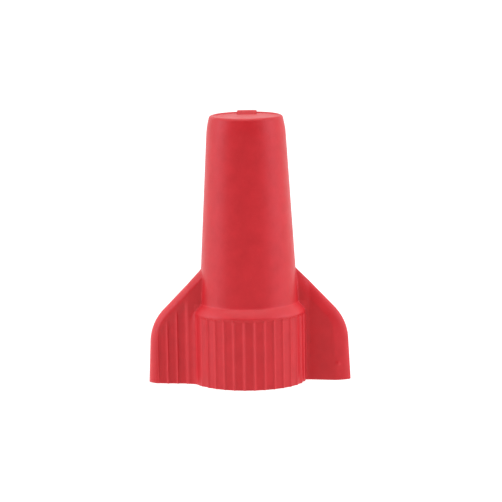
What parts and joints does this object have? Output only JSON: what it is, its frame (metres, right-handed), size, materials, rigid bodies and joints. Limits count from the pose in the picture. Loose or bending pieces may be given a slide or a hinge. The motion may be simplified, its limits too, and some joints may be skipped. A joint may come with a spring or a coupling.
{
  "type": "twist wire connector",
  "caption": "Winged twist-on wire connector: a red moulded shell with a tapered tube, fluted collar and finger wings, and a conical square-wire spring inside.",
  "frame": {"origin": "centre of the mouth, on the plane that the connector stands on", "axes": "+Z along the axis from the mouth to the closed end, +X through a wing, +Y square to the wings"},
  "size_m": [0.0226, 0.0126, 0.0302],
  "materials": {
    "shell_plastic": "semi-matt moulded red thermoplastic",
    "spring_steel": "zinc-plated square spring wire"
  },
  "bodies": {
    "root": {"shell": "shell_plastic", "spring": "spring_steel"}
  },
  "joints": []
}
